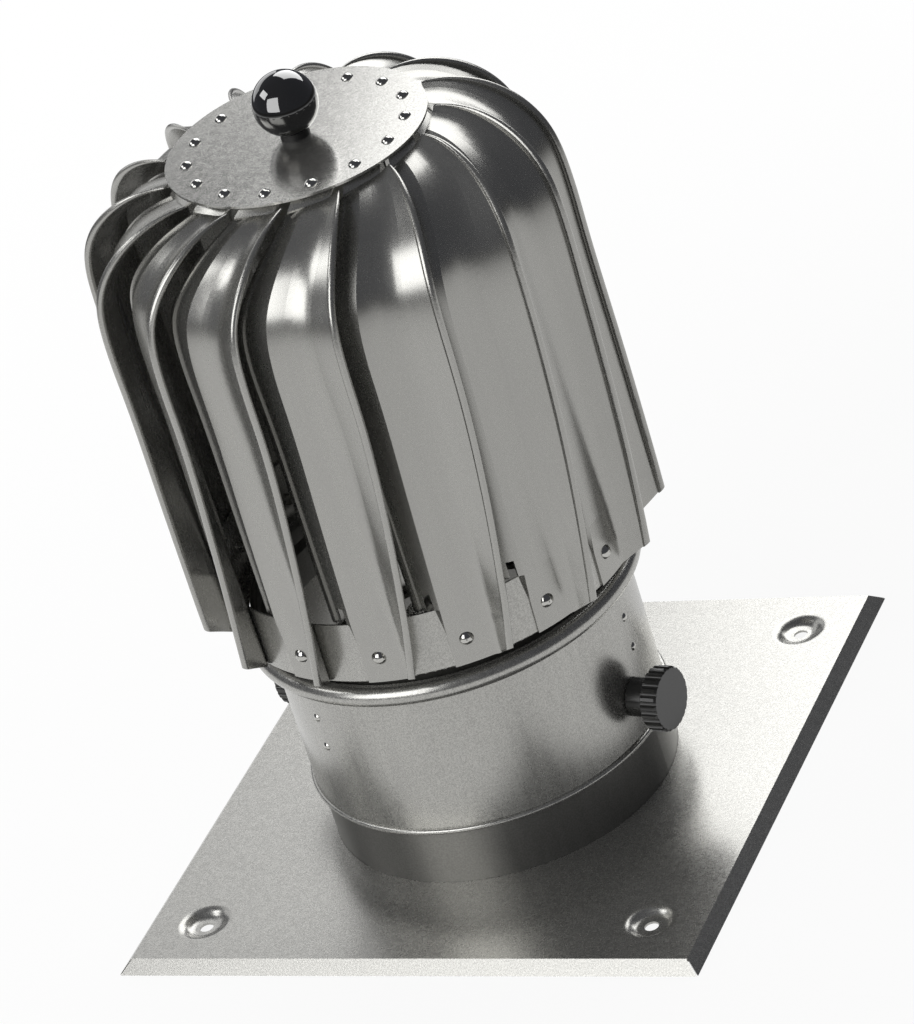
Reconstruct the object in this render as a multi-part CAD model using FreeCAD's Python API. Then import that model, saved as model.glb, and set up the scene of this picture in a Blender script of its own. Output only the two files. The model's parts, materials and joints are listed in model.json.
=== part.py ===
import FreeCAD, Part
import math
import os

from FreeCAD import Vector

# Rotating chimney cowl in thin stainless sheet, millimetres, +Z up.
# Origin: centre of the base plate's lower edge, on the surface that it rests on.
# The front edge of the plate runs along X, and heights named *_height are above the plate's top face.

# Base plate with its folded skirt and pressed screw dimples
plate_side = 250.0
plate_sheet = 1.0
skirt_drop = 5.0
skirt_out = 5.0
mitre_gap = 0.6
dimple_spacing = 201.6
dimple_r = 12.0
dimple_depth = 2.6
dimple_floor_r = 4.6
dimple_bow = 0.9
dimple_hole_r = 3.0

# Flue stub that stands on the plate
stub_r = 74.5
stub_sheet = 1.0
stub_height = 57.0
stub_flange_r = 86.0
stub_rim_width = 4.0
stub_bend_r = 1.6
stub_fit = 0.1

# Sleeve that slips over the stub and carries the rotor
sleeve_bore_r = 75.3
sleeve_sheet = 0.8
sleeve_foot_height = 27.2
sleeve_foot_curl_r = 1.2
sleeve_top_height = 98.0
sleeve_top_curl_r = 4.45
curl_sweep = 300.0

# Three-armed bracket riveted inside the sleeve
arm_count = 3
arm_first_angle = 0.0
arm_width = 20.0
arm_sheet = 2.0
arm_rise = 29.0
arm_foot_height = 27.0
bracket_hub_r = 20.0
bracket_bend_r = 0.6
sleeve_rivet_heights = (63.5, 78.0)

# Rain collar inside the sleeve's mouth, with a rim rolled outward
collar_sheet = 0.8
collar_fit = 0.05
collar_foot_depth = 9.5
collar_joggle_gap = 0.55
collar_joggle_rise = 4.0
collar_joggle_out = 1.1
collar_wall = 5.8
collar_rim_r = 1.5

# Clamp knobs
knob_angles = (-8.0, 172.0)
knob_height = 46.0
knob_neck_r = 8.2
knob_head_r = 13.5
knob_face_r = 12.7
knob_neck_gap = 0.5
knob_neck_length = 9.6
knob_head_length = 7.6
knob_bevel = 0.9
flute_count = 22
flute_r = 1.3
flute_depth = 1.1
clamp_screw_r = 3.0
clamp_screw_fit = 0.05
clamp_tip_gap = 0.3
clamp_hole_gap = 0.3
clamp_screw_bevel = 0.6
clamp_screw_in_knob = 5.0
boss_r = 6.0
boss_length = 5.6
boss_clearance = 0.6
boss_root = 2.0
boss_seat_fit = 0.02

# Spindle, its nut and its bearings
spindle_r = 8.0
spindle_journal_r = 6.0
spindle_flange_r = 11.0
spindle_flange_length = 4.0
spindle_thread_r = 5.0
spindle_thread_length = 16.0
spindle_bevel = 0.8
nut_across_flats = 17.0
nut_length = 8.0
washer_r = 10.0
washer_sheet = 2.0
washer_fit = 0.25
bearing_r = 16.0
bearing_width = 10.0
bearing_split_r = 9.0
bearing_running_fit = 0.05
bearing_seat_fit = 0.01
bearing_bevel = 0.6
bearing_distance = 34.0
clip_sheet = 1.2
clip_height = 2.4
clip_groove = 0.8
clip_fit = 0.05
clip_mouth = 60.0
spindle_end = 3.0

# Bearing housing under the top disc
housing_wall = 3.5
housing_top = 9.0
housing_flange_r = 30.0
housing_flange_sheet = 5.0
housing_skirt = 6.0
housing_relief = 3.5
housing_root = 2.0
housing_bevel = 1.0
spindle_head_gap = 0.6
seal_sheet = 2.5
seal_fit = 0.4
seal_seat_fit = 0.05

# Rotor ring and top disc
ring_r = 86.1
ring_sheet = 0.8
ring_gap = 6.75
ring_width = 27.8
ring_foot_bore_r = 79.8
ring_bend_r = 0.9
disc_r = 53.8
disc_sheet = 1.0
disc_above_ring = 175.0

# Blades: angles are seen from the axis, from the plane through the lower rivet
blade_count = 15
blade_first_angle = -106.4
blade_sheet = 0.8
blade_foot_rise = 0.3
wing_foot_rise = 6.5
shoulder_r = 41.0
shoulder_drop = 4.0
shoulder_reach = 79.0
disc_turn = 22.5
lean_full_arc = 90.0
lean_power = 1.5
run_out_power = 3
bead_r = 1.6
bead_end_r = 0.5
bead_taper_start = 45.0
bead_arcs = 3
bead_path_r = 97.3
bead_angle_foot = 8.5
bead_angle_shoulder = 17.0
bead_angle_disc = 13.4
bead_rise_disc = 2.7
hem_angle = -11.0
hem_depth = 5.5
hem_depth_disc = 2.6
hem_width = 2.8
hem_bulge = 1.5
hem_clearance = 0.5
fold_angle_foot = -5.0
fold_angle_shoulder = -1.5
crease_angle = 7.2
crease_rise_disc = 1.0
fold_stand = 1.2
slit_foot_rise = 15.8
slit_width = 1.7
slit_width_foot = 0.1
slit_fit = 0.05
relief_inset = 1.9
relief_width = 2.8
relief_height = 7.4
bend_reach_foot = 3.0
bend_reach_shoulder = 8.0
bend_share = 0.45
straight_shares = (0.0, 0.4, 0.75, 0.97)
shoulder_shares = (0.22, 0.48, 0.74, 1.0)
tab_root_width = 17.0
tab_end_width = 13.0
tab_bend_r = 50.0
tab_end_r = 39.5

# Rivets
rivet_r = 1.6
rivet_fit = 0.05
rivet_tail_gap = 0.06
rivet_tail_r = 2.3
rivet_tail = 2.0
disc_rivet_circle_r = 45.0
disc_rivet_head_r = 2.7
disc_rivet_head = 1.7
ring_rivet_rise = 11.7
ring_rivet_head_r = 3.0
ring_rivet_head = 1.8
sleeve_rivet_head_r = 1.9
sleeve_rivet_head = 1.0
sleeve_rivet_r = 1.2
sleeve_rivet_tail_r = 1.8
sleeve_rivet_tail = 1.4

# Ball knob on top
ball_r = 13.3
ball_neck_r = 6.0
ball_neck_height = 2.9
stud_r = 4.0
stud_in_ball = 13.6
stud_in_housing = 6.0
stud_fit = 0.05

# Places that follow from the sizes above
plate_top = skirt_drop
stub_top = plate_top + stub_height
arm_top = stub_top + arm_rise
arm_under = arm_top - arm_sheet
sleeve_r = sleeve_bore_r + sleeve_sheet
sleeve_foot = plate_top + sleeve_foot_height
sleeve_top = plate_top + sleeve_top_height
knob_level = plate_top + knob_height
curl_top = sleeve_top + sleeve_top_curl_r
ring_foot = curl_top + ring_gap
ring_top = ring_foot + ring_width
disc_top = ring_top + disc_above_ring
disc_under = disc_top - disc_sheet
blade_foot = ring_foot + blade_foot_rise
ring_rivet_place = ring_foot + ring_rivet_rise
hem_foot = ring_top + hem_clearance
slit_foot = ring_foot + slit_foot_rise
blade_outer_r = ring_r + blade_sheet
shoulder_centre_r = blade_outer_r - shoulder_r
shoulder_centre_z = disc_top - shoulder_drop - shoulder_r
blade_step = 360.0 / blade_count
housing_r = bearing_r + housing_wall
bearing_high = disc_under - housing_top - bearing_width
bearing_low = bearing_high - bearing_distance - bearing_width
housing_foot = bearing_low - housing_skirt
spindle_top = bearing_high + bearing_width + spindle_end
ball_neck_top = disc_top + ball_neck_height
ball_centre = ball_neck_top + math.sqrt(ball_r ** 2 - ball_neck_r ** 2)

same_place = 1e-6

AXIS = Vector(0, 0, 1)
CENTRE = Vector(0, 0, 0)


def polar(radius, angle):
    """Point at a radius and an angle in degrees, as two numbers."""
    return radius * math.cos(math.radians(angle)), radius * math.sin(math.radians(angle))


def tube(outer, inner, low, high):
    """Straight round tube about the vertical axis."""
    wall = Part.makeCylinder(outer, high - low, Vector(0, 0, low))
    return wall.cut(Part.makeCylinder(inner, high - low, Vector(0, 0, low)))


def outline(points, place):
    """Closed wire through pairs. A pair of pairs is an arc through the first to the second."""
    edges = []
    here = place(*points[0])
    for step in points[1:] + [points[0]]:
        if isinstance(step[0], tuple):
            end = place(*step[1])
            edges.append(Part.Arc(here, place(*step[0]), end).toShape())
        else:
            end = place(*step)
            if here.distanceToPoint(end) > same_place:
                edges.append(Part.LineSegment(here, end).toShape())
        here = end
    return Part.Wire(edges)


def turned(points):
    """Solid of revolution about the vertical axis from radius and height pairs."""
    wire = outline(points, lambda radius, height: Vector(radius, 0, height))
    return Part.Face(wire).revolve(CENTRE, AXIS, 360)


def radial(shape, angle, height):
    """Take a shape made along the vertical axis and point it outward at an angle and a height."""
    placed = shape.copy()
    placed.rotate(CENTRE, Vector(0, 1, 0), 90)
    placed.translate(Vector(0, 0, height))
    placed.rotate(CENTRE, AXIS, angle)
    return placed


def spun(shape, angle):
    """Copy of a shape turned about the vertical axis."""
    copy = shape.copy()
    copy.rotate(CENTRE, AXIS, angle)
    return copy


def drill(hole_r, wall_r, depth, angle, height):
    """Round cutter along a radius, centred on a wall at a distance from the axis."""
    return radial(Part.makeCylinder(hole_r, depth, Vector(0, 0, wall_r - depth / 2)), angle, height)


def rivet(shank_r, head_r, head, grip, tail_r, tail):
    """Blind rivet along the vertical axis, with its domed head above the surface at height zero."""
    dome_r = (head_r ** 2 + head ** 2) / (2 * head)
    mid = math.asin(head_r / dome_r) / 2
    crown = (dome_r * math.sin(mid), head - dome_r * (1 - math.cos(mid)))
    return turned([
        (0, -grip - tail), (tail_r, -grip - tail), (tail_r, -grip), (shank_r, -grip),
        (shank_r, 0), (head_r, 0), (crown, (0, head)),
    ])


def save(name, shape):
    """Write one piece of the cowl."""
    shape.exportStep("parts/" + name + ".step")


# Base

def square_frustum(half_low, half_high, low, high):
    """Solid between two squares, one above the other."""
    wires = []
    for half, height in ((half_low, low), (half_high, high)):
        corners = [(-half, -half), (half, -half), (half, half), (-half, half)]
        wires.append(outline(corners, lambda x, y, level=height: Vector(x, y, level)))
    return Part.makeLoft(wires, True, True)


def base_plate():
    """Square plate with a sloping skirt, mitred corners, four pressed dimples and the flue hole."""
    half = plate_side / 2
    slope = skirt_out / skirt_drop
    inset = plate_sheet * math.hypot(1, slope)
    under = plate_top - plate_sheet
    plate = square_frustum(half + skirt_out, half, 0, plate_top)
    hollow_low = half + skirt_out - inset
    hollow_high = half + slope * plate_sheet - inset
    plate = plate.cut(square_frustum(hollow_low, hollow_high, 0, under))
    reach = 2 * (skirt_out + inset)
    slit = Part.makeBox(reach, mitre_gap, plate_top, Vector(0, -mitre_gap / 2, 0))
    slit.translate(Vector(math.hypot(half, half), 0, 0))
    for corner in range(4):
        plate = plate.cut(spun(slit, 45 + 90 * corner))
    floor = plate_top - dimple_depth
    pit = floor - plate_sheet
    quarter = dimple_depth / 4
    bend = (dimple_r + dimple_floor_r) / 2
    hollow = bend - dimple_bow
    crown = bend + dimple_bow
    dish = turned([
        (dimple_hole_r, floor), (dimple_floor_r, floor),
        ((hollow, floor + quarter), (bend, floor + 2 * quarter)),
        ((crown, floor + 3 * quarter), (dimple_r, plate_top)),
        (dimple_r, under),
        ((crown, pit + 3 * quarter), (bend, pit + 2 * quarter)),
        ((hollow, pit + quarter), (dimple_floor_r, pit)),
        (dimple_hole_r, pit),
    ])
    for side_x in (-1, 1):
        for side_y in (-1, 1):
            place = Vector(side_x * dimple_spacing / 2, side_y * dimple_spacing / 2, 0)
            plate = plate.cut(Part.makeCylinder(dimple_r, plate_top, place))
            pressed = dish.copy()
            pressed.translate(place)
            plate = plate.fuse(pressed)
    plate = plate.cut(Part.makeCylinder(stub_r + stub_fit, plate_top))
    return plate.removeSplitter()


def flue_stub():
    """Tube with a flange turned out under the plate and a rim turned in at the top."""
    flange_top = plate_top - plate_sheet
    flange_low = flange_top - stub_sheet
    inner = stub_r - stub_sheet
    corner = stub_bend_r * (1 - math.sqrt(0.5))
    return turned([
        (stub_flange_r, flange_low), (stub_flange_r, flange_top), (stub_r, flange_top),
        (stub_r, stub_top - stub_bend_r),
        ((stub_r - corner, stub_top - corner), (stub_r - stub_bend_r, stub_top)),
        (inner - stub_rim_width, stub_top), (inner - stub_rim_width, stub_top - stub_sheet),
        (inner, stub_top - stub_sheet), (inner, flange_low + stub_bend_r),
        ((inner + corner, flange_low + corner), (inner + stub_bend_r, flange_low)),
    ])


# Sleeve, collar and bracket

def around(centre_r, centre_z, radius, angle):
    """Point at an angle round the centre of a curl."""
    x, z = polar(radius, angle)
    return centre_r + x, centre_z + z


def sleeve():
    """Rolled sleeve with a small curl at the foot and a large curl at the top, drilled all round."""
    def at_top(radius, angle):
        return around(sleeve_bore_r + sleeve_top_curl_r, sleeve_top, radius, angle)

    def at_foot(radius, angle):
        return around(sleeve_bore_r + sleeve_foot_curl_r, sleeve_foot, radius, -angle)

    end = 180 - curl_sweep
    middle = 180 - curl_sweep / 2
    top_in = sleeve_top_curl_r - sleeve_sheet
    foot_in = sleeve_foot_curl_r - sleeve_sheet
    wall = turned([
        (sleeve_bore_r, sleeve_foot), (sleeve_bore_r, sleeve_top),
        (at_top(sleeve_top_curl_r, middle), at_top(sleeve_top_curl_r, end)),
        at_top(top_in, end), (at_top(top_in, middle), (sleeve_r, sleeve_top)),
        (sleeve_r, sleeve_foot),
        (at_foot(foot_in, middle), at_foot(foot_in, end)),
        at_foot(sleeve_foot_curl_r, end),
        (at_foot(sleeve_foot_curl_r, middle), (sleeve_bore_r, sleeve_foot)),
    ])
    depth = 4 * sleeve_sheet
    for angle in knob_angles:
        wall = wall.cut(drill(clamp_screw_r + clamp_hole_gap, sleeve_r, depth, angle, knob_level))
    for angle, height in sleeve_rivet_places():
        wall = wall.cut(drill(sleeve_rivet_r + rivet_fit, sleeve_r, depth, angle, height))
    return wall


def sleeve_rivet_places():
    """Angle and height of each rivet that holds the bracket."""
    return [
        (arm_first_angle + 360.0 * arm / arm_count, plate_top + height)
        for arm in range(arm_count) for height in sleeve_rivet_heights
    ]


def rain_collar():
    """Thin tube in the sleeve's mouth, joggled out above it, with its rim rolled outward."""
    outer = sleeve_bore_r - collar_fit
    inner = outer - collar_sheet
    foot = sleeve_top - collar_foot_depth
    low = curl_top + collar_joggle_gap
    high = low + collar_joggle_rise
    top = high + collar_wall
    wide_in = inner + collar_joggle_out
    wide_out = outer + collar_joggle_out

    def rim(radius, angle):
        return around(wide_in + collar_rim_r, top, radius, angle)

    end = 180 - curl_sweep
    middle = 180 - curl_sweep / 2
    rim_in = collar_rim_r - collar_sheet
    return turned([
        (inner, foot), (inner, low), (wide_in, high), (wide_in, top),
        (rim(collar_rim_r, middle), rim(collar_rim_r, end)),
        rim(rim_in, end), (rim(rim_in, middle), (wide_out, top)),
        (wide_out, high), (outer, low), (outer, foot),
    ])


def spindle_bracket():
    """Pressed star: a flat hub, three flat arms, and a foot bent down against the sleeve on each arm."""
    wall = sleeve_bore_r
    foot_in = wall - arm_sheet
    foot_low = arm_top - arm_foot_height
    bend_out = arm_sheet + bracket_bend_r
    mid = math.sqrt(0.5)
    inner = foot_in - bracket_bend_r
    strip = turned([
        (0, arm_top), (inner, arm_top),
        ((inner + bend_out * mid, arm_top - bend_out * (1 - mid)), (wall, arm_top - bend_out)),
        (wall, foot_low), (foot_in, foot_low), (foot_in, arm_top - bend_out),
        ((inner + bracket_bend_r * mid, arm_under - bracket_bend_r * (1 - mid)), (inner, arm_under)),
        (0, arm_under),
    ])
    star = Part.makeCylinder(bracket_hub_r, arm_sheet, Vector(0, 0, arm_under))
    for arm in range(arm_count):
        block = Part.makeBox(2 * wall, arm_width, 2 * arm_foot_height, Vector(0, -arm_width / 2, foot_low))
        star = star.fuse(strip.common(spun(block, arm_first_angle + 360.0 * arm / arm_count)))
    eye_low = Vector(0, 0, arm_under - arm_sheet)
    star = star.cut(Part.makeCylinder(spindle_thread_r + washer_fit, 3 * arm_sheet, eye_low))
    for angle, height in sleeve_rivet_places():
        star = star.cut(drill(sleeve_rivet_r + rivet_fit, wall, 4 * arm_sheet, angle, height))
    return star.removeSplitter()


def bracket_rivets():
    """Small domed rivets through the sleeve and the bracket's feet."""
    grip = sleeve_sheet + arm_sheet + rivet_tail_gap
    one = rivet(
        sleeve_rivet_r, sleeve_rivet_head_r, sleeve_rivet_head, grip, sleeve_rivet_tail_r, sleeve_rivet_tail,
    )
    one.translate(Vector(0, 0, sleeve_r))
    return Part.makeCompound([radial(one, angle, height) for angle, height in sleeve_rivet_places()])


# Spindle and bearings

def spindle():
    """Turned spindle: threaded foot, flange on the bracket, shaft, and a thinner journal."""
    foot = arm_under - spindle_thread_length
    flange_top = arm_top + spindle_flange_length
    groove = bearing_high + bearing_width + clip_fit
    groove_top = groove + clip_sheet + clip_fit
    groove_r = spindle_journal_r - clip_groove
    return turned([
        (0, foot), (spindle_thread_r - spindle_bevel, foot), (spindle_thread_r, foot + spindle_bevel),
        (spindle_thread_r, arm_top), (spindle_flange_r, arm_top), (spindle_flange_r, flange_top),
        (spindle_r, flange_top + 2 * spindle_bevel), (spindle_r, bearing_low),
        (spindle_journal_r, bearing_low), (spindle_journal_r, groove), (groove_r, groove),
        (groove_r, groove_top), (spindle_journal_r, groove_top),
        (spindle_journal_r, spindle_top - spindle_bevel), (spindle_journal_r - spindle_bevel, spindle_top),
        (0, spindle_top),
    ])


def spindle_washer():
    """Flat washer under the bracket."""
    return tube(washer_r, spindle_thread_r + washer_fit, arm_under - washer_sheet, arm_under)


def spindle_nut():
    """Hexagon nut on the spindle's foot."""
    top = arm_under - washer_sheet
    corner_r = nut_across_flats / math.sqrt(3)
    corners = [polar(corner_r, 60 * side) for side in range(6)]
    hexagon = Part.Face(outline(corners, lambda x, y: Vector(x, y, top - nut_length)))
    nut = hexagon.extrude(Vector(0, 0, nut_length))
    bevel = corner_r - nut_across_flats / 2
    barrel = turned([
        (0, top - nut_length), (corner_r - bevel, top - nut_length), (corner_r, top - nut_length + bevel),
        (corner_r, top - bevel), (corner_r - bevel, top), (0, top),
    ])
    nut = nut.common(barrel)
    return nut.cut(Part.makeCylinder(spindle_thread_r + stud_fit, top))


def bearing_ring(inner, outer, low):
    """One ring of a sealed bearing, with its corners broken at the bore and at the rim."""
    high = low + bearing_width
    bevel = bearing_bevel
    return turned([
        (inner + bevel, low), (outer - bevel, low), (outer, low + bevel), (outer, high - bevel),
        (outer - bevel, high), (inner + bevel, high), (inner, high - bevel), (inner, low + bevel),
    ])


def inner_ring(low):
    """Bearing ring that sits on the journal."""
    return bearing_ring(spindle_journal_r + bearing_seat_fit, bearing_split_r, low)


def outer_ring(low):
    """Bearing ring and shields that sit in the housing."""
    return bearing_ring(bearing_split_r + bearing_running_fit, bearing_r, low)


def bearing_spacer():
    """Tube that keeps the two inner rings apart."""
    low = bearing_low + bearing_width
    return tube(bearing_split_r - bearing_bevel, spindle_journal_r + stud_fit, low, bearing_high)


def open_ring(outer, inner, low, mouth_angle):
    """Flat spring clip with an open mouth."""
    ring = tube(outer, inner, low, low + clip_sheet)
    x, y = polar(2 * outer, clip_mouth / 2)
    wedge = outline([(0, 0), (x, -y), (x, y)], lambda a, b: Vector(a, b, low))
    mouth = Part.Face(wedge).extrude(Vector(0, 0, clip_sheet))
    return ring.cut(spun(mouth, mouth_angle))


def spindle_clip():
    """Clip in the spindle's groove, over the upper inner ring."""
    low = bearing_high + bearing_width + clip_fit
    return open_ring(spindle_journal_r + clip_height, spindle_journal_r - clip_groove + clip_fit, low, 0)


def housing_clip():
    """Clip in the housing's groove, under the lower outer ring."""
    low = bearing_low - clip_fit - clip_sheet
    return open_ring(bearing_r + clip_groove - clip_fit, bearing_r - clip_height, low, 180)


def bearing_housing():
    """Turned cup with a flange under the top disc, a bore for two bearings and a groove for the clip."""
    bore = bearing_r + bearing_seat_fit
    roof = bearing_high + bearing_width
    relief = bearing_r - housing_relief
    roof_high = spindle_top + spindle_head_gap
    groove_top = bearing_low
    groove_low = groove_top - clip_sheet - 2 * clip_fit
    flange_low = disc_under - housing_flange_sheet
    cup = turned([
        (0, disc_under), (housing_flange_r, disc_under), (housing_flange_r, flange_low),
        (housing_r + housing_root, flange_low), (housing_r, flange_low - housing_root),
        (housing_r, housing_foot + housing_bevel), (housing_r - housing_bevel, housing_foot),
        (bore, housing_foot), (bore, groove_low),
        (bearing_r + clip_groove, groove_low), (bearing_r + clip_groove, groove_top), (bore, groove_top),
        (bore, roof), (relief, roof), (relief, roof_high), (0, roof_high),
    ])
    hole_low = Vector(0, 0, disc_under - stud_in_housing)
    return cup.cut(Part.makeCylinder(stud_r + stud_fit, stud_in_housing, hole_low))


def dust_seal():
    """Rubber disc in the housing's mouth, clear of the spindle."""
    return tube(bearing_r - seal_seat_fit, spindle_r + seal_fit, housing_foot, housing_foot + seal_sheet)


# Clamp knobs

def clamp_boss(angle):
    """Threaded round boss whose foot follows the sleeve."""
    start = sleeve_r - boss_root
    boss = radial(tube(boss_r, clamp_screw_r, start, sleeve_r + boss_length), angle, knob_level)
    return boss.cut(Part.makeCylinder(sleeve_r + boss_seat_fit, 2 * knob_level))


def clamp_knob(angle):
    """Fluted plastic knob with a hollow neck over the boss."""
    start = sleeve_r + knob_neck_gap
    head = start + knob_neck_length
    face = head + knob_head_length
    recess = sleeve_r + boss_length + boss_clearance
    knob = turned([
        (boss_r + boss_clearance, start), (knob_neck_r, start), (knob_neck_r, head),
        (knob_head_r - knob_bevel / 2, head), (knob_head_r, head + knob_bevel / 2),
        (knob_head_r, face - knob_bevel), (knob_face_r, face), (0, face),
        (0, recess + clamp_screw_in_knob), (clamp_screw_r, recess + clamp_screw_in_knob),
        (clamp_screw_r, recess), (boss_r + boss_clearance, recess),
    ])
    flute_foot = Vector(knob_head_r + flute_r - flute_depth, 0, head - knob_head_length / 2)
    flute = Part.makeCylinder(flute_r, 2 * knob_head_length, flute_foot)
    flutes = [spun(flute, 360.0 * number / flute_count) for number in range(flute_count)]
    knob = knob.cut(Part.makeCompound(flutes))
    return radial(knob, angle, knob_level)


def clamp_screw(angle):
    """Steel stud moulded into the knob, which presses on the stub."""
    shank = clamp_screw_r - clamp_screw_fit
    tip = stub_r + clamp_tip_gap
    end = sleeve_r + boss_length + boss_clearance + clamp_screw_in_knob
    bevel = clamp_screw_bevel
    stud = turned([(0, tip), (shank - bevel, tip), (shank, tip + bevel), (shank, end), (0, end)])
    return radial(stud, angle, knob_level)


# Rotor

def rotor_ring():
    """Ring that joins the blades' feet, with its foot turned inward."""
    inner = ring_r - ring_sheet
    flat = ring_foot + ring_sheet
    bend = (ring_r - ring_bend_r, ring_foot + ring_bend_r, ring_bend_r)
    ring = turned([
        (ring_r, ring_top), (inner, ring_top), (inner, flat), (ring_foot_bore_r, flat),
        (ring_foot_bore_r, ring_foot), around(*bend, -90), (around(*bend, -45), around(*bend, 0)),
    ])
    for number in range(blade_count):
        angle = blade_first_angle + blade_step * number
        ring = ring.cut(drill(rivet_r + rivet_fit, ring_r, 4 * ring_sheet, angle, ring_rivet_place))
    return ring


def disc_rivet_angle(number):
    """Angle of the rivet that holds a blade's upper tab."""
    return blade_first_angle + disc_turn + blade_step * number


def top_disc():
    """Flat disc over the blades' upper tabs."""
    disc = Part.makeCylinder(disc_r, disc_sheet, Vector(0, 0, disc_under))
    disc = disc.cut(Part.makeCylinder(stud_r + stud_fit, disc_sheet, Vector(0, 0, disc_under)))
    for number in range(blade_count):
        x, y = polar(disc_rivet_circle_r, disc_rivet_angle(number))
        disc = disc.cut(Part.makeCylinder(rivet_r + rivet_fit, disc_sheet, Vector(x, y, disc_under)))
    return disc


class Station:
    """Cross-section of a blade: its place on the panel's path and the corners of its sheet."""

    def __init__(self, height=0.0, arc=0.0):
        self.arc = arc
        swing = math.radians(arc)
        self.out_r = math.cos(swing)
        self.out_z = math.sin(swing)
        self.r = shoulder_centre_r + shoulder_r * self.out_r
        self.z = shoulder_centre_z + shoulder_r * self.out_z
        if arc == 0.0:
            self.z = height
        self.turn = disc_turn * (arc / lean_full_arc) ** lean_power
        self.rise = min(1.0, (self.z - blade_foot) / (shoulder_centre_z - blade_foot))
        self.late = (arc / shoulder_reach) ** run_out_power

    def place(self, across, out):
        """Point of the section, across the blade and out from the panel's path."""
        point = Vector(self.r + out * self.out_r, across, self.z + out * self.out_z)
        placed = FreeCAD.Rotation(AXIS, self.turn).multVec(point)
        return placed

    def corner(self, angle, out):
        """Corner seen at an angle from the axis, at a distance out from the panel's path."""
        reach = self.r + out * self.out_r
        return reach * math.tan(math.radians(angle)), out

    def corners(self):
        """Outer corners of the sheet: hem, fold, crease and wing tip."""
        path_r = blade_outer_r
        share = self.arc / shoulder_reach
        climb = 1 - (1 - self.rise) ** 2
        bead_angle = bead_angle_foot + (bead_angle_shoulder - bead_angle_foot) * climb
        bead_angle += (bead_angle_disc - bead_angle_shoulder) * share
        bead_out = bead_path_r * math.cos(math.radians(bead_angle)) - path_r
        if self.arc > 0:
            bead_out = bead_path_r * math.cos(math.radians(bead_angle_shoulder)) - path_r
            bead_out += (bead_rise_disc - bead_out) * self.late
        hem_out = -hem_depth + (hem_depth - hem_depth_disc) * self.late
        fold_angle = fold_angle_foot + (fold_angle_shoulder - fold_angle_foot) * self.rise
        stand = max(0.0, min(1.0, (self.z - slit_foot) / (hem_foot - slit_foot))) * (1 - share)
        fold_out = path_r * (math.cos(math.radians(fold_angle)) - 1) + fold_stand * stand
        crease_out = path_r * (math.cos(math.radians(crease_angle)) - 1) + crease_rise_disc * share
        return (
            self.corner(hem_angle, hem_out), self.corner(fold_angle, fold_out),
            self.corner(crease_angle, crease_out), self.corner(bead_angle, bead_out),
        )

    def bend_reach(self, panel, wing):
        """How far the soft bend between panel and wing reaches, for their widths."""
        reach = bend_reach_foot + (bend_reach_shoulder - bend_reach_foot) * self.rise
        return min(reach, bend_share * panel, bend_share * wing)

    def bead_radius(self):
        """Radius of the rolled edge, which runs out towards the disc."""
        share = (self.arc - bead_taper_start) / (shoulder_reach - bead_taper_start)
        return bead_r + (bead_end_r - bead_r) * max(0.0, share)


def unit(start, end):
    """Unit direction from one point of a section to another."""
    length = math.hypot(end[0] - start[0], end[1] - start[1])
    return (end[0] - start[0]) / length, (end[1] - start[1]) / length


def moved(point, direction, distance):
    """Point moved along a direction."""
    return point[0] + direction[0] * distance, point[1] + direction[1] * distance


def inward(direction):
    """Direction to the sheet's inner face, for a run along the outer face."""
    return direction[1], -direction[0]


def mitred(before, corner, after, depth):
    """Inner corner of a folded sheet."""
    first = inward(unit(before, corner))
    second = inward(unit(corner, after))
    share = depth / (1 + first[0] * second[0] + first[1] * second[1])
    return moved(moved(corner, first, share), second, share)


def bowed(start, end):
    """Middle of the arc between two corners of the panel, which follows the ring's round."""
    sag = (end[0] - start[0]) ** 2 / (8 * blade_outer_r)
    return (start[0] + end[0]) / 2, (start[1] + end[1]) / 2 + sag


def through(start, middle, end):
    """Control point of the flat arc from start to end that passes through middle."""
    return 2 * middle[0] - (start[0] + end[0]) / 2, 2 * middle[1] - (start[1] + end[1]) / 2


def between(start, end, share):
    """Point at a share of the way from one point to another."""
    return start[0] + (end[0] - start[0]) * share, start[1] + (end[1] - start[1]) * share


def crossing(first, along, second, beside):
    """Where two lines cross, each given by a point and a direction."""
    gap_x = second[0] - first[0]
    gap_y = second[1] - first[1]
    turn = along[0] * beside[1] - along[1] * beside[0]
    return moved(first, along, (gap_x * beside[1] - gap_y * beside[0]) / turn)


def soft_bend(station, fold, crease, tip):
    """Panel's arc and the bend into the wing: a control point and an end for each."""
    control = through(fold, bowed(fold, crease), crease)
    panel = math.dist(fold, crease)
    reach = station.bend_reach(panel, math.dist(crease, tip))
    share = 1 - reach / panel
    first = between(fold, control, share)
    second = between(control, crease, share)
    along = unit(first, second)
    beside = unit(crease, tip)
    start = between(first, second, share)
    return first, start, crossing(start, along, crease, beside), moved(crease, beside, reach)


def wing_tip(station, crease, tip):
    """Arcs round the rolled edge, from the sheet's outer face round to its inner face."""
    radius = station.bead_radius()
    along = unit(crease, tip)
    side = inward(along)
    centre = moved(tip, side, blade_sheet - radius)
    opening = math.acos((radius - blade_sheet) / radius)

    def rim(number):
        swing = opening + (2 * math.pi - opening) * number / (2 * bead_arcs)
        return moved(moved(centre, side, radius * math.cos(swing)), along, -radius * math.sin(swing))

    section = [(None, rim(0))]
    for number in range(0, 2 * bead_arcs, 2):
        section.append((through(rim(number), rim(number + 1), rim(number + 2)), rim(number + 2)))
    return section


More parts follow.
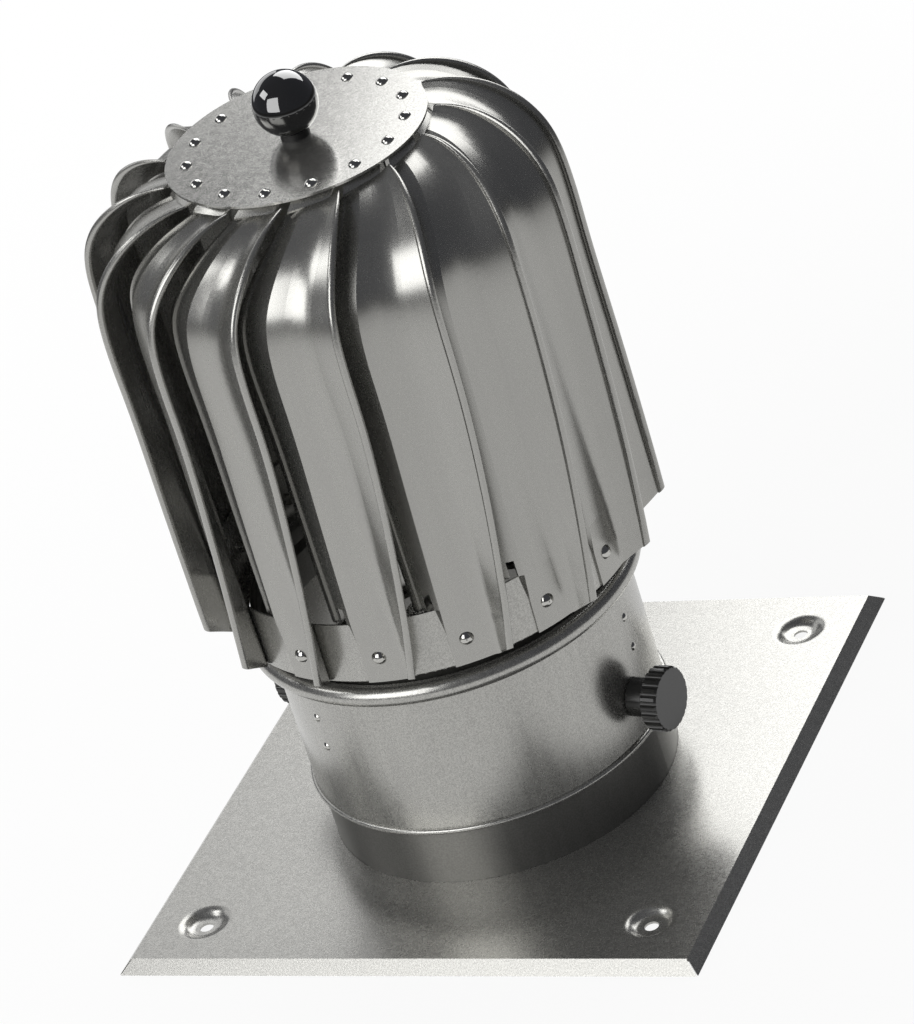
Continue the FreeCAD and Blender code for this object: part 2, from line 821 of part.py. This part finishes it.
def body_section(station):
    """Section of the whole sheet: hem, flap, panel, wing and rolled edge, as pairs of control and corner."""
    hem, fold, crease, tip = station.corners()
    flap = unit(hem, fold)
    under = inward(flap)
    fold_in = mitred(hem, fold, crease, blade_sheet)
    crease_in = mitred(fold, crease, tip, blade_sheet)
    tip_in = moved(tip, inward(unit(crease, tip)), blade_sheet)
    hem_in = moved(hem, under, blade_sheet)
    hem_step = moved(hem, flap, hem_width)
    hem_top = moved(hem_step, under, -blade_sheet)
    hem_round = moved(moved(hem, under, -hem_bulge * blade_sheet), flap, -hem_bulge * blade_sheet)
    panel, start, knee, end = soft_bend(station, fold, crease, tip)
    panel_in, start_in, knee_in, end_in = soft_bend(station, fold_in, crease_in, tip_in)
    section = [(None, hem_step), (None, fold), (panel, start), (knee, end)]
    section += wing_tip(station, crease, tip)
    section += [
        (None, end_in), (knee_in, start_in), (panel_in, fold_in), (None, hem_in), (hem_round, hem_top),
    ]
    return section


def foot_section(station):
    """Section of the lower tab and the wing beside it, which ends as the whole sheet starts."""
    hem, fold, crease, tip = station.corners()
    crease_in = mitred(fold, crease, tip, blade_sheet)
    tip_in = moved(tip, inward(unit(crease, tip)), blade_sheet)
    edge_in = (fold[0] * ring_r / blade_outer_r, fold[1] - blade_sheet)
    if station.z >= hem_foot:
        edge_in = mitred(hem, fold, crease, blade_sheet)
    panel, start, knee, end = soft_bend(station, fold, crease, tip)
    panel_in, start_in, knee_in, end_in = soft_bend(station, edge_in, crease_in, tip_in)
    section = [(None, fold), (panel, start), (knee, end)]
    section += wing_tip(station, crease, tip)
    section += [(None, end_in), (knee_in, start_in), (panel_in, edge_in)]
    return section


def ring_face(across):
    """Distance out of the ring's face from the panel's path, at a place across the blade."""
    return math.sqrt((ring_r + slit_fit) ** 2 - across ** 2) - blade_outer_r


def slit_web(low, high):
    """Web at the fold's foot, which closes the wedge between the panel and the ring."""
    wires = []
    for station, width in ((low, slit_width_foot), (high, slit_width)):
        fold = station.corners()[1]
        left = fold[0] - width
        right = fold[0] + blade_sheet
        corners = [
            fold, (left, ring_face(left)), (right, ring_face(right)), (right, fold[1] - slit_fit),
        ]
        wires.append(outline(corners, station.place))
    return Part.makeLoft(wires, True, True)


def long_curve(points, distances):
    """Smooth curve along the blade through one corner of every section."""
    curve = Part.BSplineCurve()
    if len(points) == 2:
        curve.buildFromPolesMultsKnots(points, [2, 2], distances, False, 1)
    else:
        curve.interpolate(Points=points, Parameters=distances)
    return curve


def strip(curves):
    """Face between two long curves, flat across them, or rounded by a third curve in the middle."""
    poles = [curve.getPoles() for curve in curves]
    order = len(curves)
    first = curves[0]
    surface = Part.BSplineSurface()
    surface.buildFromPolesMultsKnots(
        poles, [order, order], first.getMultiplicities(), [0.0, 1.0], first.getKnots(),
        False, False, order - 1, first.Degree,
    )
    return surface.toShape()


def cap(section, station):
    """Flat end of the blade's sheet."""
    edges = []
    here = station.place(*section[-1][1])
    for control, corner in section:
        end = station.place(*corner)
        curve = Part.BezierCurve()
        curve.setPoles([here, end] if control is None else [here, station.place(*control), end])
        edges.append(curve.toShape())
        here = end
    return Part.Face(Part.Wire(edges))


def skinned(stations, make_section):
    """Solid sheet between sections at the stations, one face for each side of the section."""
    sections = [make_section(station) for station in stations]
    distances = [0.0]
    for first, second in zip(stations, stations[1:]):
        distances.append(distances[-1] + first.place(0, 0).distanceToPoint(second.place(0, 0)))

    def curve_at(corner, part):
        points = [station.place(*section[corner][part]) for station, section in zip(stations, sections)]
        return long_curve(points, distances)

    faces = [cap(sections[0], stations[0]), cap(sections[-1], stations[-1])]
    for corner in range(len(sections[0])):
        curves = [curve_at(corner - 1, 1), curve_at(corner, 1)]
        if sections[0][corner][0] is not None:
            curves.insert(1, curve_at(corner, 0))
        faces.append(strip(curves))
    shell = Part.makeShell(faces)
    shell.sewShape()
    solid = Part.Solid(shell.Shells[0])
    if solid.Volume < 0:
        solid.reverse()
    return solid


def upper_tab(last):
    """Tab that rises from the blade's end and lies flat under the disc, tapered towards the axis."""
    fold, crease = last.corners()[1:3]
    slope = (crease[1] - fold[1]) / (crease[0] - fold[0])
    half = tab_root_width / 2
    low = fold[1] - slope * (fold[0] + half)
    high = low + 2 * slope * half
    root = [(-half, low), (half, high), (half, high - blade_sheet), (-half, low - blade_sheet)]
    wires = [outline(root, last.place)]
    for reach, width in ((tab_bend_r, tab_root_width), (tab_end_r, tab_end_width)):
        corners = [(-width / 2, 0), (width / 2, 0), (width / 2, -blade_sheet), (-width / 2, -blade_sheet)]
        wire = outline(corners, lambda across, up, r=reach: Vector(r, across, disc_under + up))
        wire.rotate(CENTRE, AXIS, disc_turn)
        wires.append(wire)
    tab = Part.makeLoft(wires, True, True)
    x, y = polar(disc_rivet_circle_r, disc_turn)
    hole_low = Vector(x, y, disc_under - 2 * blade_sheet)
    return tab.cut(Part.makeCylinder(rivet_r + rivet_fit, 3 * blade_sheet, hole_low))


def wing_foot_cutter():
    """Wedge below the wing's lower edge, which rises from the crease to the rolled edge."""
    near = blade_outer_r
    far = bead_path_r + 2 * bead_r
    rise = wing_foot_rise * (far - near) / (bead_path_r - near)
    low = blade_foot - bead_r
    corners = [(near, blade_foot), (near, low), (far, low), (far, blade_foot + rise)]
    wedge = Part.Face(outline(corners, lambda x, z: Vector(x, 0, z)))
    return wedge.extrude(Vector(0, far, 0))


def blade():
    """One blade, with its lower rivet in the plane of X and Z."""
    straight = shoulder_centre_z - hem_foot
    stations = [Station(height=hem_foot + straight * share) for share in straight_shares]
    stations += [Station(arc=shoulder_reach * share) for share in shoulder_shares]
    body = skinned(stations, body_section)
    slit = Station(height=slit_foot)
    foot = skinned([Station(height=blade_foot), slit], foot_section)
    neck = skinned([slit, stations[0]], foot_section)
    fold = stations[0].corners()[1]
    notch = Vector(blade_outer_r - 2 * hem_depth, fold[0] - relief_inset - relief_width, hem_foot)
    relief = Part.makeBox(4 * hem_depth, relief_width, relief_height, notch)
    hole = drill(rivet_r + rivet_fit, ring_r, 4 * blade_sheet, 0, ring_rivet_place)
    foot = foot.cut(hole).cut(wing_foot_cutter())
    return body.cut(relief).fuse([neck, foot, slit_web(slit, stations[0]), upper_tab(stations[-1])])


def disc_rivets():
    """Domed rivets through the top disc and the blades' upper tabs."""
    grip = disc_sheet + blade_sheet + rivet_tail_gap
    one = rivet(rivet_r, disc_rivet_head_r, disc_rivet_head, grip, rivet_tail_r, rivet_tail)
    rivets = []
    for number in range(blade_count):
        x, y = polar(disc_rivet_circle_r, disc_rivet_angle(number))
        rivets.append(one.translated(Vector(x, y, disc_top)))
    return Part.makeCompound(rivets)


def ring_rivets():
    """Domed rivets through the blades' lower tabs and the rotor ring."""
    grip = blade_sheet + ring_sheet + rivet_tail_gap
    one = rivet(rivet_r, ring_rivet_head_r, ring_rivet_head, grip, rivet_tail_r, rivet_tail)
    one.translate(Vector(0, 0, blade_outer_r))
    return Part.makeCompound([
        radial(one, blade_first_angle + blade_step * number, ring_rivet_place)
        for number in range(blade_count)
    ])


# Ball knob

def ball_knob():
    """Moulded ball with a short neck on the disc and a blind hole for the stud."""
    hole_r = stud_r + stud_fit
    return turned([
        (hole_r, disc_top), (ball_neck_r, disc_top), (ball_neck_r, ball_neck_top),
        ((ball_r, ball_centre), (0, ball_centre + ball_r)),
        (0, disc_top + stud_in_ball), (hole_r, disc_top + stud_in_ball),
    ])


def ball_stud():
    """Stud from the housing through the disc into the ball."""
    low = disc_under - stud_in_housing
    high = disc_top + stud_in_ball
    return turned([(0, low), (stud_r, low), (stud_r, high), (0, high)])


def build():
    """Make every piece and write it."""
    os.makedirs("parts", exist_ok=True)
    save("base_plate", base_plate())
    save("flue_stub", flue_stub())
    save("sleeve", sleeve())
    save("rain_collar", rain_collar())
    save("spindle_bracket", spindle_bracket())
    save("bracket_rivets", bracket_rivets())
    save("spindle", spindle())
    save("spindle_washer", spindle_washer())
    save("spindle_nut", spindle_nut())
    save("spindle_clip", spindle_clip())
    save("bearing_spacer", bearing_spacer())
    save("lower_bearing_inner", inner_ring(bearing_low))
    save("upper_bearing_inner", inner_ring(bearing_high))
    save("lower_bearing_outer", outer_ring(bearing_low))
    save("upper_bearing_outer", outer_ring(bearing_high))
    save("bearing_housing", bearing_housing())
    save("housing_clip", housing_clip())
    save("dust_seal", dust_seal())
    for number, angle in enumerate(knob_angles, 1):
        save("clamp_boss_%d" % number, clamp_boss(angle))
        save("clamp_knob_%d" % number, clamp_knob(angle))
        save("clamp_screw_%d" % number, clamp_screw(angle))
    save("rotor_ring", rotor_ring())
    save("top_disc", top_disc())
    pattern = blade()
    for number in range(blade_count):
        save("blade_%02d" % (number + 1), spun(pattern, blade_first_angle + blade_step * number))
    save("disc_rivets", disc_rivets())
    save("ring_rivets", ring_rivets())
    save("ball_stud", ball_stud())
    save("ball_knob", ball_knob())


if __name__ == "__main__":
    build()
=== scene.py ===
import json
import math

import bpy
from mathutils import Matrix, Vector

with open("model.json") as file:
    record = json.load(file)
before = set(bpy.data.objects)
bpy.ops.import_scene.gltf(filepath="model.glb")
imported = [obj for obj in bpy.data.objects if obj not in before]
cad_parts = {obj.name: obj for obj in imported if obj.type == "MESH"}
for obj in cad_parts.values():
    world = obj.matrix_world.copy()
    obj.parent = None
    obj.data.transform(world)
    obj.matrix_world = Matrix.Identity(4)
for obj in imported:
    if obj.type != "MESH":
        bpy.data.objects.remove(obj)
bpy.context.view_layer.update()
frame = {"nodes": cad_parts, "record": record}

# Centre of the ball, from which the lamps' places are measured, in metres
ball_centre = Vector((0.0, 0.0, 0.332))

# Floor: side of its square sheet, and how far it lies below the plate's foot, in metres
floor_side = 4.2
floor_sink = 0.0002

# Distances at which the floor's reflection starts and ends to darken, in metres
floor_near = 0.7
floor_far = 1.4

# Distances at which the floor's shading starts and ends to turn to plain white, in metres
shadow_near = 0.3
shadow_far = 0.9

# Share of the floor that glows plain white near the cowl; the rest takes its shadow
floor_glow = 0.9

# Colours of the room: white behind the cowl, what fills its shadows, what the metal reflects above
# the floor and far off on it, and the darkest and lightest of the floor's paper
white = (1.0, 1.0, 1.0, 1.0)
fill_light = (0.25, 0.25, 0.25, 1.0)
dark_room = (0.085, 0.088, 0.1, 1.0)
dark_floor = (0.05, 0.05, 0.05, 1.0)
paper_low = (0.78, 0.78, 0.78, 1.0)
paper_high = (0.8, 0.8, 0.8, 1.0)

# Share of the sheet's look that is metal; the rest is its satin haze
sheet_metallic = 0.86

# Noise scales along each axis: sheets are rolled along their height, and turned pieces have rings
sheet_grain = (260.0, 260.0, 26.0)
blade_grain = (300.0, 300.0, 12.0)
turning_grain = (60.0, 60.0, 3500.0)

# Levels of the noise between which grain, speckle and handling marks set in
grain_levels = (0.3, 0.7)
mark_levels = (0.45, 0.7)

# Shares of the clouds in a sheet's tone, and of grain, sand and clouds in its roughness
tone_clouds = 0.25
rough_lines = 0.4
rough_sand = 0.3
rough_clouds = 0.3

# Green and blue of the faintly warm greys, as shares of their red
warm_green = 0.99
warm_blue = 0.94

# Depths of the turned rings and of the plastic's moulded surface, in metres
ring_depth = 0.00002
mould_depth = 0.000008

# Top of the ball's short neck, and the height over which the gloss sets in above it, in metres
neck_level = 0.3205
neck_blend = 0.001

# Extra roughness of the neck, which has no gloss
neck_dullness = 0.5

# Clear gloss of the ball
plastic_ior = 1.5
gloss_ior = 1.9
gloss_roughness = 0.03

# Faces that meet at more than this angle keep a hard edge
hard_edge_degrees = 32.0

# Camera, at the photograph's viewing angle
camera_place = Vector((0.9980, -1.7053, 1.2533))
camera_right = Vector((0.900320, 0.341781, -0.269461))
camera_forward = Vector((-0.433856, 0.753909, -0.493346))
camera_lens_mm = 195.22
film_mm = 36.0
clip_near = 0.05
clip_far = 50.0


class Value:
    """Number socket of a node tree, with arithmetic that adds its Math nodes."""

    def __init__(self, finish, socket):
        self.finish = finish
        self.socket = socket

    def math(self, operation, other, clamp=False):
        settings = {"operation": operation, "use_clamp": clamp}
        return self.finish.value("ShaderNodeMath", settings, {0: self, 1: other})

    def __add__(self, other):
        return self.math("ADD", other)

    def __mul__(self, other):
        return self.math("MULTIPLY", other)

    def __sub__(self, other):
        return self.math("SUBTRACT", other)

    def __rsub__(self, other):
        return (self * -1.0) + other

    __radd__ = __add__
    __rmul__ = __mul__

    def above(self, low, high):
        """0 below low, 1 above high, and smooth between them."""
        settings = {"interpolation_type": "SMOOTHSTEP"}
        inputs = {"Value": self, "From Min": low, "From Max": high}
        return self.finish.value("ShaderNodeMapRange", settings, inputs)

    def clamped(self):
        """The number kept between 0 and 1."""
        return self.math("ADD", 0.0, clamp=True)


class Finish:
    """Node tree of a material or of the world."""

    def __init__(self, tree):
        self.tree = tree
        tree.nodes.clear()

    def add(self, kind, settings=None, inputs=None):
        """Node of a kind, with its settings set first and then the values or links of its sockets."""
        node = self.tree.nodes.new(kind)
        for name, value in (settings or {}).items():
            setattr(node, name, value)
        for name, value in (inputs or {}).items():
            socket = node.inputs[name]
            if isinstance(value, Value):
                self.tree.links.new(value.socket, socket)
            elif isinstance(value, bpy.types.NodeSocket):
                self.tree.links.new(value, socket)
            else:
                socket.default_value = value
        return node

    def value(self, kind, settings=None, inputs=None, output=0):
        """Number output of a new node."""
        return Value(self, self.add(kind, settings, inputs).outputs[output])

    def place(self):
        """Place on the piece, in metres, which rides with its body."""
        return self.add("ShaderNodeTexCoord").outputs["Object"]

    def length(self, place):
        """Distance of a place from the piece's origin."""
        return self.value("ShaderNodeVectorMath", {"operation": "LENGTH"}, {0: place}, "Value")

    def height(self, place):
        """Height of a place above the floor."""
        return self.value("ShaderNodeSeparateXYZ", None, {"Vector": place}, "Z")

    def stretched(self, place, factors):
        """Place scaled along each axis."""
        return self.add("ShaderNodeVectorMath", {"operation": "MULTIPLY"}, {0: place, 1: factors}).outputs[0]

    def noise(self, place, scale, detail, roughness):
        """Cloudy noise about 0.5."""
        inputs = {"Vector": place, "Scale": scale, "Detail": detail, "Roughness": roughness}
        return self.value("ShaderNodeTexNoise", None, inputs)

    def mixed(self, factor, first, second):
        """Colour between two colours."""
        inputs = {"Factor": factor, "A": first, "B": second}
        return self.add("ShaderNodeMix", {"data_type": "RGBA"}, inputs).outputs["Result"]

    def bump(self, height, depth_m):
        """Normal from a height between 0 and 1."""
        return self.add("ShaderNodeBump", None, {"Height": height, "Distance": depth_m}).outputs[0]

    def light(self, kind, colour):
        """Light or matt paint of one colour, as a shader."""
        return self.add(kind, None, {"Color": colour}).outputs[0]

    def blended(self, factor, first, second):
        """Shader between two shaders."""
        return self.add("ShaderNodeMixShader", None, {0: factor, 1: first, 2: second}).outputs[0]


def greys(low, high):
    """Two faintly warm greys for a mix."""
    return [(level, level * warm_green, level * warm_blue, 1.0) for level in (low, high)]


def between(ends, share):
    """Number a share of the way from the first of two ends to the second."""
    low, high = ends
    return low + (high - low) * share


def new_material(name):
    """Empty material and its tree."""
    material = bpy.data.materials.new(name)
    material.use_nodes = True
    return material, Finish(material.node_tree)


def surface(finish, inputs):
    """Principled surface, linked to the material's output."""
    shader = finish.add("ShaderNodeBsdfPrincipled", None, inputs)
    finish.add("ShaderNodeOutputMaterial", None, {"Surface": shader.outputs[0]})


def sheet_finish(name, grain, tones, speck, roughness):
    """Satin stainless sheet: fine grain along its rolling direction, sand-like speckle and faint clouds."""
    material, finish = new_material(name)
    place = finish.place()
    grain_place = finish.stretched(place, grain)
    lines = finish.noise(grain_place, scale=1.0, detail=3.0, roughness=0.6).above(*grain_levels)
    sand = finish.noise(place, scale=1500.0, detail=1.0, roughness=0.5).above(*grain_levels)
    clouds = finish.noise(place, scale=9.0, detail=2.0, roughness=0.5)
    tone = sand * speck + lines * (1.0 - tone_clouds - speck) + clouds * tone_clouds
    wear = lines * rough_lines + sand * rough_sand + clouds * rough_clouds
    surface(finish, {
        "Base Color": finish.mixed(tone, *greys(*tones)),
        "Metallic": sheet_metallic,
        "Roughness": between(roughness, wear),
    })
    return material


def polished_finish(name, tones, roughness):
    """Bright metal with faint clouds and handling marks."""
    material, finish = new_material(name)
    place = finish.place()
    clouds = finish.noise(place, scale=120.0, detail=3.0, roughness=0.6)
    marks = finish.noise(place, scale=700.0, detail=2.0, roughness=0.6).above(*mark_levels)
    surface(finish, {
        "Base Color": finish.mixed(clouds, *greys(*tones)),
        "Metallic": 1.0,
        "Roughness": between(roughness, clouds * 0.5 + marks * 0.5),
    })
    return material


def turned_finish(name, tones, roughness):
    """Turned metal: fine rings about the axis."""
    material, finish = new_material(name)
    place = finish.place()
    ring_place = finish.stretched(place, turning_grain)
    rings = finish.noise(ring_place, scale=1.0, detail=2.0, roughness=0.6)
    clouds = finish.noise(place, scale=60.0, detail=2.0, roughness=0.5)
    surface(finish, {
        "Base Color": finish.mixed(rings * 0.5 + clouds * 0.5, *greys(*tones)),
        "Metallic": 1.0,
        "Roughness": between(roughness, rings),
        "Normal": finish.bump(rings, ring_depth),
    })
    return material


def moulded_finish(name, tones, roughness, gloss=0.0):
    """Black moulded plastic with a faint mottle, under a clear gloss above the neck's level."""
    material, finish = new_material(name)
    place = finish.place()
    above_neck = finish.height(place).above(neck_level, neck_level + neck_blend)
    mottle = finish.noise(place, scale=160.0, detail=3.0, roughness=0.6)
    fine = finish.noise(place, scale=1800.0, detail=2.0, roughness=0.6)
    surface(finish, {
        "Base Color": finish.mixed(mottle, *greys(*tones)),
        "Roughness": between(roughness, mottle) + (1.0 - above_neck) * (neck_dullness * gloss),
        "IOR": plastic_ior,
        "Coat Weight": above_neck * gloss,
        "Coat Roughness": gloss_roughness,
        "Coat IOR": gloss_ior,
        "Normal": finish.bump(fine, mould_depth),
    })
    return material


def smooth(node):
    """Smooth shading with hard edges kept where faces meet at more than an angle."""
    mesh = node.data
    mesh.polygons.foreach_set("use_smooth", [True] * len(mesh.polygons))
    mesh.set_sharp_from_angle(angle=math.radians(hard_edge_degrees))


# Each finish with the darkest and lightest of its greys, and its lowest and highest roughness
finishes = {
    "sheet_steel": sheet_finish("Sheet_steel", sheet_grain, (0.3, 0.48), 0.6, (0.24, 0.3)),
    "disc_steel": sheet_finish("Disc_steel", sheet_grain, (0.31, 0.48), 0.6, (0.15, 0.21)),
    # Darker greys that paint the shade falling on the stub and collar under the rotor
    "shaded_stub_steel": sheet_finish("Shaded_stub_steel", sheet_grain, (0.15, 0.22), 0.6, (0.3, 0.38)),
    "blade_steel": sheet_finish("Blade_steel", blade_grain, (0.34, 0.39), 0.5, (0.25, 0.29)),
    "rivet_steel": polished_finish("Rivet_steel", (0.42, 0.52), (0.08, 0.2)),
    "turned_steel": turned_finish("Turned_steel", (0.34, 0.44), (0.22, 0.38)),
    "bearing_steel": polished_finish("Bearing_steel", (0.36, 0.46), (0.1, 0.2)),
    "housing_aluminium": turned_finish("Housing_aluminium", (0.4, 0.5), (0.22, 0.38)),
    "seal_rubber": moulded_finish("Seal_rubber", (0.015, 0.03), (0.6, 0.8)),
    "knob_plastic": moulded_finish("Knob_plastic", (0.014, 0.026), (0.12, 0.25)),
    "ball_plastic": moulded_finish("Ball_plastic", (0.004, 0.008), (0.03, 0.06), gloss=1.0),
}

# Pieces with a finish of their own: the smoother disc, and the duller stub and collar, whose darker greys
# are painted shade from the rotor above them
own_finishes = {"top_disc": "disc_steel", "flue_stub": "shaded_stub_steel", "rain_collar": "shaded_stub_steel"}

for part in frame["record"]["subparts"]:
    node = frame["nodes"][part["node"]]
    node.data.materials.clear()
    node.data.materials.append(finishes[own_finishes.get(part["node"], part["material_slot"])])
    smooth(node)


def seen_by(finish, *rays):
    """1 for the named kinds of rays, and 0 for the others."""
    path = finish.add("ShaderNodeLightPath")
    kinds = [Value(finish, path.outputs[ray]) for ray in rays]
    return sum(kinds[1:], kinds[0]).clamped()


def studio_world():
    """White for the camera, dark for what the metal reflects above the floor, and dim for the rest."""
    world = bpy.data.worlds.new("Studio")
    bpy.context.scene.world = world
    world.use_nodes = True
    finish = Finish(world.node_tree)
    kind = "ShaderNodeBackground"
    reflected = seen_by(finish, "Is Glossy Ray")
    behind = seen_by(finish, "Is Camera Ray", "Is Transmission Ray")
    room = finish.blended(reflected, finish.light(kind, fill_light), finish.light(kind, dark_room))
    studio = finish.blended(behind, room, finish.light(kind, white))
    finish.add("ShaderNodeOutputWorld", None, {"Surface": studio})


def pale_floor():
    """Pale floor with the cowl's shadow, white to camera and metal; far off the metal sees it dark."""
    bpy.ops.mesh.primitive_plane_add(size=floor_side, location=(0.0, 0.0, -floor_sink))
    floor = bpy.context.object
    floor.name = "Floor"
    material, finish = new_material("Floor_paper")
    place = finish.place()
    distance = finish.length(place)
    clouds = finish.noise(place, scale=3.0, detail=2.0, roughness=0.5)
    paper = finish.light("ShaderNodeBsdfDiffuse", finish.mixed(clouds, paper_low, paper_high))
    far = distance.above(floor_near, floor_far) * seen_by(finish, "Is Glossy Ray")
    glow = finish.light("ShaderNodeEmission", finish.mixed(far, white, dark_floor))
    plain = between((floor_glow, 1.0), distance.above(shadow_near, shadow_far))
    share = seen_by(finish, "Is Camera Ray", "Is Glossy Ray", "Is Transmission Ray") * plain
    finish.add("ShaderNodeOutputMaterial", None, {"Surface": finish.blended(share, paper, glow)})
    floor.data.materials.append(material)


def placed_object(name, data, place, right, up, back):
    """Object of a lamp or camera at a place, with the directions of its right, up and back."""
    thing = bpy.data.objects.new(name, data)
    turn = Matrix((right, up, back)).transposed()
    thing.matrix_world = Matrix.Translation(place) @ turn.to_4x4()
    bpy.context.scene.collection.objects.link(thing)
    return thing


def softbox(name, middle, across, up, radiance):
    """Rectangular lamp about a middle measured from the ball, with its two sides as vectors."""
    across = Vector(across)
    up = Vector(up)
    lamp = bpy.data.lights.new(name, "AREA")
    lamp.shape = "RECTANGLE"
    lamp.size = across.length
    lamp.size_y = up.length
    lamp.energy = radiance * math.pi * lamp.size * lamp.size_y
    side = across.normalized()
    back = across.cross(up).normalized()
    placed_object(name, lamp, ball_centre + Vector(middle), side, back.cross(side), back)


def photo_camera():
    """Camera that sees the cowl as the photograph does."""
    camera = bpy.data.cameras.new("Camera")
    camera.lens = camera_lens_mm
    camera.sensor_fit = "VERTICAL"
    camera.sensor_height = film_mm
    camera.clip_start = clip_near
    camera.clip_end = clip_far
    up = camera_right.cross(camera_forward)
    eye = placed_object("Camera", camera, camera_place, camera_right, up, -camera_forward)
    bpy.context.scene.camera = eye


studio_world()
pale_floor()
softbox("Softbox_front", (-0.51, -1.29, 0.57), (1.24, 0.13, 0.01), (-0.02, 0.26, 1.2), radiance=3.6)
softbox("Softbox_left", (-1.14, -0.35, 0.91), (0.51, -0.6, -0.03), (0.14, 0.1, 0.47), radiance=4.0)
softbox("Softbox_back", (-0.222, 1.23, 0.84), (-1.12, 0.57, -0.25), (-0.29, -0.47, 1.16), radiance=3.4)
softbox("Wall_left", (-0.62, 0.47, 0.16), (-0.4, -0.58, 0.0), (0.0, 0.0, 0.4), radiance=1.0)
photo_camera()
bpy.context.scene.view_settings.view_transform = "Standard"
